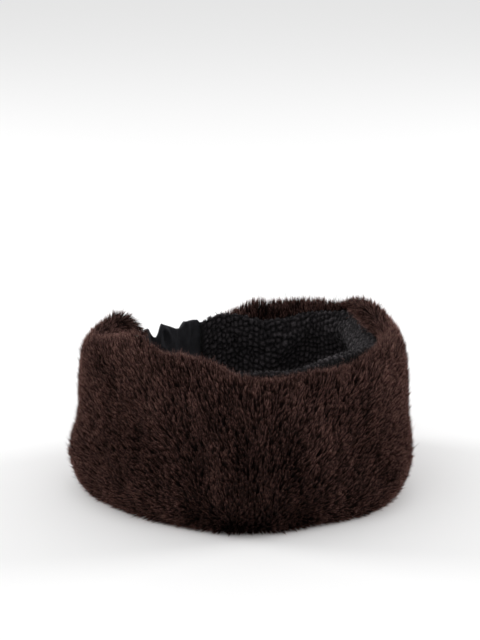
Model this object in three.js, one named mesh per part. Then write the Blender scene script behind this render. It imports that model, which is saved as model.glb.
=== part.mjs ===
// A wide winter headband of faux fur, lying on its lower edge as an open, slightly squashed ring.
// Three sewn pieces: the fur band, the teddy fleece that lines it, and the gathered casing at the nape.
// Millimetres, +Z up, -Y towards the wearer's front and +Y towards the nape. The foot rests on z = 0.

import * as THREE from "three";

// ---- driving dimensions ----

const SEWN_GAP = 0.3; // left between two pieces that are sewn face to face
const RIM_HEIGHT = 95; // the band's upper edge, before the ring's own rises and dips

const FUR = {
  depth: 20, // how far the pile stands out from its backing
  crestOut: 8, // how far outside the backing the pile stands highest
  crestFall: 7, // how far it falls from there to the backing, at the least
  foot: 6, // how far the round of the form is cut off flat where it rests
  squareness: 2.6, // 2 gives a half ellipse, more gives flatter sides and tighter edges
  endRound: 16, // length over which the pile thins towards each end of the band
  endThin: 0.45, // share of the depth that is left at the very end
  // how far the crest falls towards each end of the band, and over what length
  fallPlusX: { length: 30, drop: 8 },
  fallMinusX: { length: 9, drop: 6 },
};

const LINING = {
  thickness: 5,
  rollHeight: 26, // height of the roll along the upper edge
  hem: 3, // height of the lower edge above the foot
  endDrop: 6, // how far the upper edge falls at the very end
};

const CASING = {
  thickness: 2.4,
  tab: 9, // length sewn in between fur and lining at each end
  tabThickness: 1.4,
  top: 92, // what the heights of its upper edge count from
  bottom: 7, // lower edge
};

// The ring from above, along the seam between fur and lining. `turn` is in degrees from +X towards +Y,
// `reach` is the distance from the ring's axis, `rise` lifts the upper edge, `crest` is how far the pile
// stands above it, `tuck` how far the pile hangs inwards over it, `flare` spreads the foot, and `roll`
// thickens the lining's roll along its upper edge.
const RING = [
  { turn: -36, reach: 95.5, rise: 3, crest: 8, tuck: 2, flare: 5, roll: 4 },
  { turn: -15, reach: 98.5, rise: 1, crest: 12, tuck: 6, flare: 2, roll: 7 },
  { turn: 3, reach: 104.5, rise: 5, crest: 10, tuck: 6, flare: 0, roll: 5 },
  { turn: 12, reach: 102.5, rise: 3, crest: 6, tuck: 2, flare: 0, roll: 4 },
  { turn: 21, reach: 98, rise: 1, crest: 8, tuck: 0, flare: 0, roll: 3 },
  { turn: 37, reach: 82, rise: -4, crest: 13, tuck: 0, flare: 0, roll: 2 },
  { turn: 46, reach: 80, rise: -2, crest: 11, tuck: 0, flare: 0, roll: 2 },
  { turn: 55, reach: 80, rise: 0, crest: 1, tuck: 0, flare: 0, roll: 2 },
  { turn: 72, reach: 77, rise: 0, crest: -5, tuck: 0, flare: 0, roll: 1 },
  { turn: 90, reach: 76, rise: -5, crest: 8, tuck: 0, flare: 0, roll: 0 },
  { turn: 108, reach: 82, rise: -9, crest: 21, tuck: 6, flare: 0, roll: 1 },
  { turn: 124, reach: 82, rise: -9, crest: 18, tuck: 8, flare: 4, roll: 1 },
  { turn: 140, reach: 81, rise: -9, crest: 18, tuck: 8, flare: 9, roll: 1 },
  { turn: 154, reach: 77, rise: -6, crest: 20, tuck: 6, flare: 9, roll: 1 },
  { turn: 172, reach: 67, rise: -2, crest: 23.5, tuck: 3, flare: 12, roll: 1 },
  { turn: 182, reach: 64.5, rise: 0, crest: 24, tuck: 1, flare: 12, roll: 1 },
  { turn: 197, reach: 63, rise: 0, crest: 17, tuck: 0, flare: 8, roll: 2 },
  { turn: 212, reach: 65, rise: 1, crest: 17, tuck: 0, flare: 4, roll: 2 },
  { turn: 228, reach: 68.5, rise: 3, crest: 13, tuck: 0, flare: 3, roll: 2 },
  { turn: 238, reach: 71, rise: 5, crest: 4, tuck: 0, flare: 2, roll: 2 },
  { turn: 252, reach: 73.5, rise: 6, crest: 0, tuck: 0, flare: 1, roll: 2 },
  { turn: 264, reach: 75, rise: 5, crest: 2, tuck: 0, flare: 0, roll: 2 },
  { turn: 276, reach: 77.5, rise: 7, crest: 0, tuck: 0, flare: 1, roll: 3 },
  { turn: 292, reach: 82.5, rise: 9, crest: -3, tuck: 0, flare: 8, roll: 3 },
  { turn: 306, reach: 89.5, rise: 8, crest: 3, tuck: 0, flare: 9, roll: 3 },
];

// Turns between which the ring is the gathered casing instead of the band.
const CASING_FROM = 72;
const CASING_TO = 108;

// Gathers in the casing, from its +X end. `at` is the share of its length, `push` how far the fold stands
// out (inwards if negative), `width` its half width as a share, `lean` how far its top drifts along.
const GATHERS = [
  { at: 0.09, push: 1.5, width: 0.09, lean: 0 },
  { at: 0.19, push: -1.2, width: 0.12, lean: 0 },
  { at: 0.29, push: 1.6, width: 0.09, lean: 0 },
  { at: 0.39, push: -0.8, width: 0.09, lean: 0.03 },
  { at: 0.49, push: 0.9, width: 0.08, lean: -0.06 },
  { at: 0.58, push: -0.8, width: 0.08, lean: 0.12 },
  { at: 0.66, push: 1.3, width: 0.08, lean: 0.12 },
  { at: 0.81, push: -1.2, width: 0.12, lean: 0.03 },
  { at: 0.93, push: 1.2, width: 0.08, lean: 0 },
];

// The casing's ruffled upper edge: `lift` is its height above CASING.top at shares of the casing's length,
// in straight lines between the rows.
const CASING_EDGE = [
  { at: 0, lift: -1.5 },
  { at: 0.03, lift: 0.5 },
  { at: 0.24, lift: 0.7 },
  { at: 0.29, lift: -4.5 },
  { at: 0.34, lift: -4 },
  { at: 0.4, lift: -2.5 },
  { at: 0.58, lift: 1.5 },
  { at: 0.62, lift: -2.5 },
  { at: 0.67, lift: -7.5 },
  { at: 0.71, lift: -7 },
  { at: 0.79, lift: -0.3 },
  { at: 0.83, lift: -0.5 },
  { at: 0.87, lift: -2.5 },
  { at: 1, lift: -7 },
];

// Soft folds in the lining's inner face. `turn` and `up` are the fold's middle, in degrees and as a share of
// the height, `slant` how many degrees it would run on over the full height, `push` how far it stands into
// the ring, `width` its half width in degrees and `span` its half height as a share.
const LINING_FOLDS = [
  { turn: 35, up: 0.72, slant: -60, push: 3.2, width: 8, span: 0.42 },
  { turn: 62, up: 0.6, slant: 4, push: 1.2, width: 9, span: 0.5 },
  { turn: 196, up: 0.5, slant: 8, push: 1.5, width: 14, span: 0.5 },
];

const SLOT_RAMP = 5; // length over which the slot for a tab runs out in the lining
const SLOT_DEPTH = CASING.tabThickness + SEWN_GAP; // leaves the tab a sewn gap on either side
const LEAN = { middle: 0.85, span: 0.15 }; // share of the height where a gather drifts, and over how much

// ---- how finely the pieces are cut into facets ----

const RING_STEPS = 80; // stations round the band, in fur and lining
const TAB_STEPS = 3; // stations along each tab, the same in all three pieces
const CASING_STEPS = 48;
const CASING_ROWS = 7; // from the casing's hem to its upper edge
const PROFILE_STEPS = 16; // from the fur's foot to its crest
const CREST_STEPS = 6; // from the crest back to the backing
const LINING_ROWS = 10; // down the lining's inner face

// ---- the ring's path ----

const path = new THREE.CatmullRomCurve3(
  RING.map(({ turn, reach }) => {
    const a = THREE.MathUtils.degToRad(turn);
    return new THREE.Vector3(reach * Math.cos(a), reach * Math.sin(a), 0);
  }),
  true,
);
path.arcLengthDivisions = 800;
const columnCurve = (key) =>
  new THREE.CatmullRomCurve3(
    RING.map((row) => new THREE.Vector3(row[key], 0, 0)),
    true,
    "catmullrom",
    0.5,
  );
const columns = ["rise", "crest", "tuck", "flare", "roll"].map((key) => [key, columnCurve(key)]);
const ringLength = path.getLength();

// Share of the ring's length at which the path passes a given turn.
function shareAtTurn(turn) {
  const wrapped = (degrees) => THREE.MathUtils.euclideanModulo(degrees - RING[0].turn, 360);
  let low = 0;
  let high = 1;
  for (let i = 0; i < 40; i++) {
    const middle = (low + high) / 2;
    const p = path.getPointAt(middle);
    const passed = wrapped(THREE.MathUtils.radToDeg(Math.atan2(p.y, p.x)));
    if (passed < wrapped(turn)) low = middle;
    else high = middle;
  }
  return low;
}

// Where the path is at a share of its length: the point, the outward direction, the turn in degrees, and
// the table's columns in between its rows.
function station(share) {
  const u = THREE.MathUtils.euclideanModulo(share, 1);
  const point = path.getPointAt(u);
  const along = path.getTangentAt(u);
  const turn = THREE.MathUtils.radToDeg(Math.atan2(point.y, point.x));
  const between = path.getUtoTmapping(u);
  const values = Object.fromEntries(columns.map(([key, curve]) => [key, curve.getPoint(between).x]));
  return { point, outward: new THREE.Vector3(along.y, -along.x, 0), turn, ...values };
}

// ---- a wall swept along the ring ----

// Closed solid from one loop of (out, up) points for each share of the path, all loops with as many points.
// Each loop runs anticlockwise with `out` to the right and `up` upwards, and both ends are capped.
function sweptWall(shares, loopAt) {
  const positions = [];
  const indices = [];
  let loop;
  for (const share of shares) {
    const here = station(share);
    loop = loopAt(share, here);
    for (const { x: out, y: up } of loop) {
      positions.push(here.point.x + here.outward.x * out, here.point.y + here.outward.y * out, up);
    }
  }
  const n = loop.length;
  for (let i = 0; i + 1 < shares.length; i++) {
    for (let j = 0; j < n; j++) {
      const a = i * n + j;
      const b = i * n + ((j + 1) % n);
      indices.push(a, a + n, b, b, a + n, b + n);
    }
  }
  const capEnd = (share, first, flip) => {
    for (const [a, b, c] of THREE.ShapeUtils.triangulateShape(loopAt(share, station(share)), [])) {
      indices.push(first + a, first + (flip ? c : b), first + (flip ? b : c));
    }
  };
  capEnd(shares[0], 0, false);
  capEnd(shares.at(-1), (shares.length - 1) * n, true);
  const geometry = new THREE.BufferGeometry();
  geometry.setAttribute("position", new THREE.Float32BufferAttribute(positions, 3));
  geometry.setIndex(indices);
  geometry.computeVertexNormals();
  return geometry;
}

// Evenly spaced values from one to another, both included.
function steps(from, to, count) {
  return Array.from({ length: count + 1 }, (_, i) => from + ((to - from) * i) / count);
}

// A smooth hump that is 1 at 0 and falls to 0 at its half width.
function hump(x, halfWidth) {
  return Math.abs(x) < halfWidth ? Math.cos((Math.PI * x) / (2 * halfWidth)) ** 2 : 0;
}

// The same turn between -180 and 180 degrees.
function shortTurn(degrees) {
  return THREE.MathUtils.euclideanModulo(degrees + 180, 360) - 180;
}

const casingStart = shareAtTurn(CASING_FROM);
const casingEnd = shareAtTurn(CASING_TO);
const casingLength = (casingEnd - casingStart) * ringLength;

// Distance in millimetres from a share of the band to the nearer of its two sewn ends.
const fromEnd = (share) => Math.min(share - casingEnd, casingStart + 1 - share) * ringLength;

// ---- fur band ----

// Outer form of the pile: cut flat at the foot, half a superellipse up the outside to the crest, and a
// quarter ellipse from the crest down to the straight backing, swollen inwards by the tuck.
function furLoop(share, { rise, crest, tuck, flare }) {
  const toPlusX = (casingStart + 1 - share) * ringLength;
  const toMinusX = (share - casingEnd) * ringLength;
  const fallen = ({ length, drop }, toEnd) => drop * Math.max(0, 1 - toEnd / length) ** 2;
  const stands = crest - fallen(FUR.fallPlusX, toPlusX) - fallen(FUR.fallMinusX, toMinusX);
  const inFromEnd = Math.min(1, Math.max(0, fromEnd(share)) / FUR.endRound);
  const thinning = FUR.endThin + (1 - FUR.endThin) * Math.sqrt(1 - (1 - inFromEnd) ** 2);
  const top = RIM_HEIGHT + rise + stands;
  const middle = (top - FUR.foot) / 2;
  const halfHeight = (top + FUR.foot) / 2;
  const backing = SEWN_GAP / 2;
  const crestOut = FUR.crestOut * thinning;
  const power = 2 / FUR.squareness;
  const loop = [new THREE.Vector2(backing, 0)];
  for (let i = 1; i <= PROFILE_STEPS; i++) {
    const a = -Math.PI / 2 + (Math.PI * i) / PROFILE_STEPS;
    const up = Math.max(0, middle + halfHeight * Math.sign(a) * Math.abs(Math.sin(a)) ** power);
    const spread = flare * THREE.MathUtils.smoothstep(middle - up, -0.2 * middle, 0.6 * middle);
    const reach = Math.max(0, Math.cos(a)) ** power;
    const from = a > 0 ? crestOut : 0;
    loop.push(new THREE.Vector2(backing + from + (FUR.depth * thinning - from + spread) * reach, up));
  }
  const fall = Math.max(FUR.crestFall, stands - 1);
  for (let i = 1; i <= CREST_STEPS; i++) {
    const a = (Math.PI / 2) * (i / CREST_STEPS);
    const out = crestOut * (1 - Math.sin(a)) - tuck * Math.sin(2 * a);
    loop.push(new THREE.Vector2(backing + out, top - fall * (1 - Math.cos(a))));
  }
  return loop;
}

// ---- fleece lining ----

// Depth of the slot that the casing's tab takes out of the lining's outer face.
function tabSlot(share) {
  const past = (fromEnd(share) - CASING.tab) / SLOT_RAMP;
  return SLOT_DEPTH * THREE.MathUtils.clamp(1 - past, 0, 1);
}

// How far the folds push the inner face into the ring at a turn and a share of the height.
function foldPush(turn, upShare) {
  let push = 0;
  for (const fold of LINING_FOLDS) {
    const above = upShare - fold.up;
    const centre = fold.turn + fold.slant * above;
    push += fold.push * hump(shortTurn(turn - centre), fold.width) * hump(above, fold.span);
  }
  return push;
}

// Padded wall with a half round hem, a rolled lip along its upper edge and the soft folds inside.
function liningLoop(share, { rise, roll, turn }) {
  const nearEnd = 1 - Math.min(1, Math.max(0, fromEnd(share)) / FUR.endRound);
  const top = RIM_HEIGHT + rise - LINING.endDrop * nearEnd ** 2;
  const outer = -SEWN_GAP / 2 - tabSlot(share);
  const inner = -SEWN_GAP / 2 - LINING.thickness;
  const radius = (outer - inner) / 2;
  const low = LINING.hem + radius;
  const high = top - radius;
  const loop = [];
  const halfRound = (up, from, count) => {
    for (let i = 0; i <= count; i++) {
      const a = from + (Math.PI * i) / count;
      loop.push(new THREE.Vector2((outer + inner) / 2 + radius * Math.cos(a), up + radius * Math.sin(a)));
    }
  };
  halfRound(low, Math.PI, 4);
  halfRound(high, 0, 6);
  for (let i = 1; i < LINING_ROWS; i++) {
    const up = high + ((low - high) * i) / LINING_ROWS;
    const rolled = roll * hump(top - LINING.rollHeight / 2 - up, LINING.rollHeight / 2);
    loop.push(new THREE.Vector2(inner - rolled - foldPush(turn, up / top), up));
  }
  return loop;
}

// ---- gathered casing ----

// 0 in the tabs between fur and lining, rising to 1 where the casing runs free.
function freeShare(millimetresIn) {
  const nearer = Math.min(millimetresIn, casingLength + 2 * CASING.tab - millimetresIn) - CASING.tab;
  return THREE.MathUtils.smoothstep(nearer, 0, CASING.tab);
}

// Height of the casing's upper edge at a share of its length.
function casingTop(at) {
  const next = Math.max(1, CASING_EDGE.findIndex((row) => row.at >= at));
  const [a, b] = [CASING_EDGE[next - 1], CASING_EDGE[next]];
  return CASING.top + THREE.MathUtils.mapLinear(at, a.at, b.at, a.lift, b.lift);
}

// Thin wall whose middle line swings in and out with the gathers, under the ruffled upper edge.
function casingLoop(share) {
  const millimetresIn = (share - casingStart) * ringLength + CASING.tab;
  const free = freeShare(millimetresIn);
  const at = THREE.MathUtils.clamp((millimetresIn - CASING.tab) / casingLength, 0, 1);
  const half = (CASING.tabThickness + (CASING.thickness - CASING.tabThickness) * free) / 2;
  const tabMiddle = -SLOT_DEPTH / 2;
  const top = casingTop(at);
  const face = (side, upwards) => {
    const points = [];
    for (let i = 0; i <= CASING_ROWS; i++) {
      const upShare = (upwards ? i : CASING_ROWS - i) / CASING_ROWS;
      const drift = Math.tanh((upShare - LEAN.middle) / LEAN.span);
      const push = GATHERS.reduce((sum, g) => sum + g.push * hump(at - g.at - g.lean * drift, g.width), 0);
      const out = tabMiddle + free * push + side * half;
      points.push(new THREE.Vector2(out, CASING.bottom + (top - CASING.bottom) * upShare));
    }
    return points;
  };
  return [...face(1, true), ...face(-1, false)];
}

// ---- the three pieces, with the ring's box centred on the origin ----

const bandStart = casingEnd;
const bandEnd = casingStart + 1;
const tabShare = CASING.tab / ringLength;
const slotShare = (CASING.tab + SLOT_RAMP) / ringLength;
const bandShares = [
  ...steps(bandStart, bandStart + tabShare, TAB_STEPS),
  ...steps(bandStart + slotShare, bandEnd - slotShare, RING_STEPS),
  ...steps(bandEnd - tabShare, bandEnd, TAB_STEPS),
];
const casingShares = [
  ...steps(casingStart - tabShare, casingStart, TAB_STEPS).slice(0, -1),
  ...steps(casingStart, casingEnd, CASING_STEPS),
  ...steps(casingEnd, casingEnd + tabShare, TAB_STEPS).slice(1),
];

function piece(name, geometry, color, roughness) {
  const mesh = new THREE.Mesh(geometry, new THREE.MeshStandardMaterial({ color, roughness, metalness: 0 }));
  mesh.name = name;
  return mesh;
}

const headband = new THREE.Group();
headband.add(
  piece("fur_band", sweptWall(bandShares, furLoop), 0x2e201d, 0.9),
  piece("fleece_lining", sweptWall(bandShares, liningLoop), 0x2b292b, 0.95),
  piece("elastic_back", sweptWall(casingShares, casingLoop), 0x161618, 0.6),
);
const middle = new THREE.Box3().setFromObject(headband).getCenter(new THREE.Vector3());
headband.children.forEach((mesh) => mesh.position.set(-middle.x, -middle.y, 0));

export default headband;
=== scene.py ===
"""A wide winter headband of faux fur, lying on its lower edge as an open, slightly squashed ring.

Three things are sewn together: the fur band, which is a backing cloth with a deep pile, the teddy fleece
that lines it, and the short gathered casing at the nape. Each wall is a loop of points carried along the
ring, and the pile and the fleece's curls are strands that stand on those walls.
"""

import math

import bpy
import numpy as np
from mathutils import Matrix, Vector


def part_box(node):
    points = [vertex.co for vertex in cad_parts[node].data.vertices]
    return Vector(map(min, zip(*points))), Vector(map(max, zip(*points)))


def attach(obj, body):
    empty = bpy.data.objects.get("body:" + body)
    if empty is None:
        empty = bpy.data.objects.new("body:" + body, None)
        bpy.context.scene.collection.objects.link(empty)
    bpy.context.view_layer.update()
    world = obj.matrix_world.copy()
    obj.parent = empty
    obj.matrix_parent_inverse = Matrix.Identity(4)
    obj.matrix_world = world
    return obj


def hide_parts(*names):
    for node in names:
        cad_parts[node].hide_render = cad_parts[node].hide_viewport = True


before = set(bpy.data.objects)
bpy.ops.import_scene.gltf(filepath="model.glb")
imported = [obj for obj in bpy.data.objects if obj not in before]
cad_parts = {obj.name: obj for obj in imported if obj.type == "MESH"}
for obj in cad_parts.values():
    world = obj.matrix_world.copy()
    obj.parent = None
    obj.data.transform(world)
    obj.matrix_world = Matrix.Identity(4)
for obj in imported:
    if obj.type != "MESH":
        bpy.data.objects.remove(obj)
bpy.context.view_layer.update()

MM = 0.001
SEED = 41

# ---- the ring, in millimetres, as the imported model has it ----

RIM_HEIGHT = 95
SEWN_GAP = 0.3  # left between two sewn pieces
CASING_FROM = 72  # turns that the gathered casing lies between
CASING_TO = 108

# From above, `turn` is in degrees from +X towards +Y and `reach` the distance from the ring's axis. `rise`
# lifts the lining's upper edge, `crest` is how far the pile stands above that, `tuck` how far the pile hangs
# inwards over it, `flare` spreads the foot, and `roll` thickens the lining's roll along its upper edge.
RING = [
    dict(turn=-36, reach=95.5, rise=3, crest=8, tuck=2, flare=5, roll=4),
    dict(turn=-15, reach=98.5, rise=1, crest=12, tuck=6, flare=2, roll=7),
    dict(turn=3, reach=104.5, rise=5, crest=10, tuck=6, flare=0, roll=5),
    dict(turn=12, reach=102.5, rise=3, crest=6, tuck=2, flare=0, roll=4),
    dict(turn=21, reach=98, rise=1, crest=8, tuck=0, flare=0, roll=3),
    dict(turn=37, reach=82, rise=-4, crest=13, tuck=0, flare=0, roll=2),
    dict(turn=46, reach=80, rise=-2, crest=11, tuck=0, flare=0, roll=2),
    dict(turn=55, reach=80, rise=0, crest=1, tuck=0, flare=0, roll=2),
    dict(turn=72, reach=77, rise=0, crest=-5, tuck=0, flare=0, roll=1),
    dict(turn=90, reach=76, rise=-5, crest=8, tuck=0, flare=0, roll=0),
    dict(turn=108, reach=82, rise=-9, crest=21, tuck=6, flare=0, roll=1),
    dict(turn=124, reach=82, rise=-9, crest=18, tuck=8, flare=4, roll=1),
    dict(turn=140, reach=81, rise=-9, crest=18, tuck=8, flare=9, roll=1),
    dict(turn=154, reach=77, rise=-6, crest=20, tuck=6, flare=9, roll=1),
    dict(turn=172, reach=67, rise=-2, crest=23.5, tuck=3, flare=12, roll=1),
    dict(turn=182, reach=64.5, rise=0, crest=24, tuck=1, flare=12, roll=1),
    dict(turn=197, reach=63, rise=0, crest=17, tuck=0, flare=8, roll=2),
    dict(turn=212, reach=65, rise=1, crest=17, tuck=0, flare=4, roll=2),
    dict(turn=228, reach=68.5, rise=3, crest=13, tuck=0, flare=3, roll=2),
    dict(turn=238, reach=71, rise=5, crest=4, tuck=0, flare=2, roll=2),
    dict(turn=252, reach=73.5, rise=6, crest=0, tuck=0, flare=1, roll=2),
    dict(turn=264, reach=75, rise=5, crest=2, tuck=0, flare=0, roll=2),
    dict(turn=276, reach=77.5, rise=7, crest=0, tuck=0, flare=1, roll=3),
    dict(turn=292, reach=82.5, rise=9, crest=-3, tuck=0, flare=8, roll=3),
    dict(turn=306, reach=89.5, rise=8, crest=3, tuck=0, flare=9, roll=3),
]

# ---- sizes of the fur's outer form ----

FUR_DEPTH = 20
CREST_OUT = 8  # how far outside the backing the pile stands highest
CREST_FALL = 7  # the least that it falls from there to the backing
FOOT = 6  # how far the form is cut off flat where it rests
SQUARENESS = 2.6  # 2 gives a half ellipse
END_ROUND = 16  # length over which the pile thins towards each end
END_THIN = 0.45  # share of the depth left at the very end
END_FALLS = dict(  # how far the crest falls towards each end, and over what length
    plus_x=dict(length=30, drop=8),
    minus_x=dict(length=9, drop=6),
)

# ---- sizes of the fleece and the casing ----

LINING_THICKNESS = 5
ROLL_HEIGHT = 26
LINING_HEM = 3
LINING_END_DROP = 6
CASING_THICKNESS = 2.4
CASING_TAB = 9  # length sewn in at each end
TAB_THICKNESS = 1.4
SLOT_RAMP = 5  # length over which the lining's slot for a tab runs out
CASING_TOP = 92
CASING_BOTTOM = 7

# Gathers in the casing, from its +X end. `at` is the share of its length, `push` how far the fold stands
# out (inwards if negative), `width` its half width as a share, and `lean` how far its top drifts along.
GATHERS = [
    dict(at=0.09, push=1.5, width=0.09, lean=0.0),
    dict(at=0.19, push=-1.2, width=0.12, lean=0.0),
    dict(at=0.29, push=1.6, width=0.09, lean=0.0),
    dict(at=0.39, push=-0.8, width=0.09, lean=0.03),
    dict(at=0.49, push=0.9, width=0.08, lean=-0.06),
    dict(at=0.58, push=-0.8, width=0.08, lean=0.12),
    dict(at=0.66, push=1.3, width=0.08, lean=0.12),
    dict(at=0.81, push=-1.2, width=0.12, lean=0.03),
    dict(at=0.93, push=1.2, width=0.08, lean=0.0),
]

# The casing's ruffled upper edge: how far it stands above CASING_TOP at shares of its length.
CASING_EDGE = [
    dict(at=0.0, lift=-1.5),
    dict(at=0.03, lift=0.5),
    dict(at=0.24, lift=0.7),
    dict(at=0.29, lift=-4.5),
    dict(at=0.34, lift=-4.0),
    dict(at=0.4, lift=-2.5),
    dict(at=0.58, lift=1.5),
    dict(at=0.62, lift=-2.5),
    dict(at=0.67, lift=-7.5),
    dict(at=0.71, lift=-7.0),
    dict(at=0.79, lift=-0.3),
    dict(at=0.83, lift=-0.5),
    dict(at=0.87, lift=-2.5),
    dict(at=1.0, lift=-7.0),
]

# Soft folds in the lining's inner face. `turn` and `up` are the fold's middle, in degrees and as a share of
# the height, `slant` how many degrees it would run on over the full height, `push` how far it stands into
# the ring, `width` its half width in degrees and `span` its half height as a share.
LINING_FOLDS = [
    dict(turn=35, up=0.72, slant=-60, push=3.2, width=8, span=0.42),
    dict(turn=62, up=0.6, slant=4, push=1.2, width=9, span=0.5),
    dict(turn=196, up=0.5, slant=8, push=1.5, width=14, span=0.5),
]


# ---- camera, light and floor ----


# Where the camera stands, in degrees and metres, with the azimuth counted from -Y towards +X, and its lens.
CAMERA = dict(azimuth=-35.4, elevation=19.5, away=1.15, aim_height=0.052)
LENS = dict(length=98.8, sensor=36, shift_x=-0.0205, shift_y=0.139)


def place_camera():
    """Camera on a sphere round a point above the ring's middle, looking at that point, with a lens shift."""
    azimuth, elevation = math.radians(CAMERA["azimuth"]), math.radians(CAMERA["elevation"])
    back = np.array(
        [
            math.sin(azimuth) * math.cos(elevation),
            -math.cos(azimuth) * math.cos(elevation),
            math.sin(elevation),
        ]
    )
    data = bpy.data.cameras.new("camera")
    data.lens = LENS["length"]
    data.sensor_width = LENS["sensor"]
    data.shift_x = LENS["shift_x"]
    data.shift_y = LENS["shift_y"]
    camera = bpy.data.objects.new("camera", data)
    bpy.context.scene.collection.objects.link(camera)
    camera.location = back * CAMERA["away"] + np.array([0, 0, CAMERA["aim_height"]])
    camera.rotation_euler = (math.pi / 2 - elevation, 0, azimuth)
    bpy.context.scene.camera = camera


# Square soft lights: two low ones beside the ring and a faint one above. `azimuth` is in degrees from +X
# towards +Y, `height`, `away` and `size` in metres.
SOFT_LIGHTS = [
    dict(name="light_right", azimuth=-18, away=1.8, height=0.35, size=0.6, watts=30),
    dict(name="light_left", azimuth=130, away=1.8, height=0.35, size=0.6, watts=30),
    dict(name="light_above", azimuth=175, away=1.0, height=1.5, size=1.2, watts=2),
]
LIGHTS_AIM = (0, 0, 0.05)
ROOM_LIGHT = 0.84
FLOOR_COLOUR = (0.9, 0.9, 0.9, 1)


def light_the_room():
    """Even white surroundings, and soft lights that look at the ring."""
    world = bpy.data.worlds.new("studio")
    world.use_nodes = True
    background = world.node_tree.nodes["Background"]
    background.inputs["Color"].default_value = (1, 1, 1, 1)
    background.inputs["Strength"].default_value = ROOM_LIGHT
    bpy.context.scene.world = world
    for row in SOFT_LIGHTS:
        azimuth = math.radians(row["azimuth"])
        data = bpy.data.lights.new(row["name"], "AREA")
        data.size = row["size"]
        data.energy = row["watts"]
        light = bpy.data.objects.new(row["name"], data)
        bpy.context.scene.collection.objects.link(light)
        place = Vector((math.cos(azimuth) * row["away"], math.sin(azimuth) * row["away"], row["height"]))
        light.location = place
        light.rotation_euler = (Vector(LIGHTS_AIM) - place).to_track_quat("-Z", "Y").to_euler()
    bpy.context.scene.view_settings.view_transform = "Standard"


def lay_floor():
    """Plain pale floor, 24 m across, one square face at height zero."""
    half = 12.0
    mesh = bpy.data.meshes.new("floor")
    corners = [(-half, -half, 0), (half, -half, 0), (half, half, 0), (-half, half, 0)]
    mesh.from_pydata(corners, [], [(0, 1, 2, 3)])
    material, _, surface = new_material("pale_floor", roughness=0.9, specular=0.0)
    surface.inputs["Base Color"].default_value = FLOOR_COLOUR
    mesh.materials.append(material)
    floor = bpy.data.objects.new("floor", mesh)
    bpy.context.scene.collection.objects.link(floor)


# ---- the ring's path ----


def closed_spline(values, steps, pace):
    """Closed cubic through the rows of `values`, with `steps` points for each gap between two rows.

    In each gap it is c0 + c1 w + c2 w^2 + c3 w^3, which meets both rows with the slopes that the rows
    before and after give, each weighed by how long its gap is. `pace` holds those lengths.
    """
    before, start, end, after = (np.roll(values, k, axis=0)[:, None] for k in (1, 0, -1, -2))
    d0, d1, d2 = (np.roll(pace, k)[:, None, None] for k in (1, 0, -1))
    slope_in = ((start - before) / d0 - (end - before) / (d0 + d1) + (end - start) / d1) * d1
    slope_out = ((end - start) / d1 - (after - start) / (d1 + d2) + (after - end) / d2) * d1
    w = (np.arange(steps) / steps)[None, :, None]
    c2 = 3 * (end - start) - 2 * slope_in - slope_out
    c3 = 2 * (start - end) + slope_in + slope_out
    found = start + slope_in * w + c2 * w**2 + c3 * w**3
    return found.reshape(-1, values.shape[1])


class Ring:
    """The seam line between fur and lining, measured by the share of its length."""

    COLUMNS = ("rise", "crest", "tuck", "flare", "roll")

    def __init__(self):
        steps = 200
        turns = np.radians([row["turn"] for row in RING])
        reach = np.array([row["reach"] for row in RING], float)
        knots = np.stack([reach * np.cos(turns), reach * np.sin(turns)], 1)
        gaps = np.sqrt(np.linalg.norm(np.roll(knots, -1, axis=0) - knots, axis=1))
        line = closed_spline(knots, steps, gaps)
        columns = np.array([[row[key] for key in self.COLUMNS] for row in RING], float)
        values = closed_spline(columns, steps, np.ones(len(RING)))
        line = np.vstack([line, line[:1]])
        values = np.vstack([values, values[:1]])
        step = np.linalg.norm(np.diff(line, axis=0), axis=1)
        self.length = step.sum()
        self.shares = np.concatenate([[0], np.cumsum(step)]) / self.length
        self.line = line
        self.values = values
        self.turns = np.degrees(np.unwrap(np.arctan2(line[:, 1], line[:, 0])))
        slopes = np.roll(line[:-1], -1, axis=0) - np.roll(line[:-1], 1, axis=0)
        slopes /= np.linalg.norm(slopes, axis=1)[:, None]
        self.slopes = np.vstack([slopes, slopes[:1]])
        self.centre = np.zeros(2)
        self.casing_start = np.interp(CASING_FROM, self.turns, self.shares)
        self.casing_end = np.interp(CASING_TO, self.turns, self.shares)
        self.casing_length = (self.casing_end - self.casing_start) * self.length
        self.band_length = self.length - self.casing_length

    def between(self, table, share):
        """A table's columns at shares of the ring, in straight lines between its stations."""
        wrapped = np.mod(share, 1)
        return np.stack([np.interp(wrapped, self.shares, column) for column in table.T], -1)

    def at(self, share):
        """Point, outward direction, direction of travel, turn and columns at shares of the ring."""
        point = self.between(self.line, share) - self.centre
        along = unit(self.between(self.slopes, share))
        outward = np.stack([along[..., 1], -along[..., 0]], -1)
        turn = self.between(self.turns[:, None], share)[..., 0]
        columns = self.between(self.values, share)
        named = {key: columns[..., i] for i, key in enumerate(self.COLUMNS)}
        return point, outward, along, turn, named

    def place(self, share, out, up):
        """Points `out` from the seam line and `up` from the floor, turned from millimetres to metres."""
        point, outward, _, _, _ = self.at(share)
        flat = point + outward * out[..., None]
        return np.concatenate([flat, up[..., None]], -1) * MM

    def from_end(self, share):
        """Millimetres from each share of the band to its end at +X and its end at -X."""
        return (
            (self.casing_start + 1 - share) * self.length,
            (share - self.casing_end) * self.length,
        )

    def band_shares(self, count):
        """Even shares from the band's end at -X, round the front, to its end at +X."""
        return np.linspace(self.casing_end, self.casing_start + 1, count)


def unit(vectors):
    """The vectors scaled to length 1."""
    return vectors / np.maximum(np.linalg.norm(vectors, axis=-1, keepdims=True), 1e-12)


def smooth_step(x, low, high):
    """3 t^2 - 2 t^3 for the share t of the way from `low` to `high`, 0 before it and 1 after it."""
    t = np.clip((x - low) / (high - low), 0, 1)
    return t * t * (3 - 2 * t)


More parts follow.
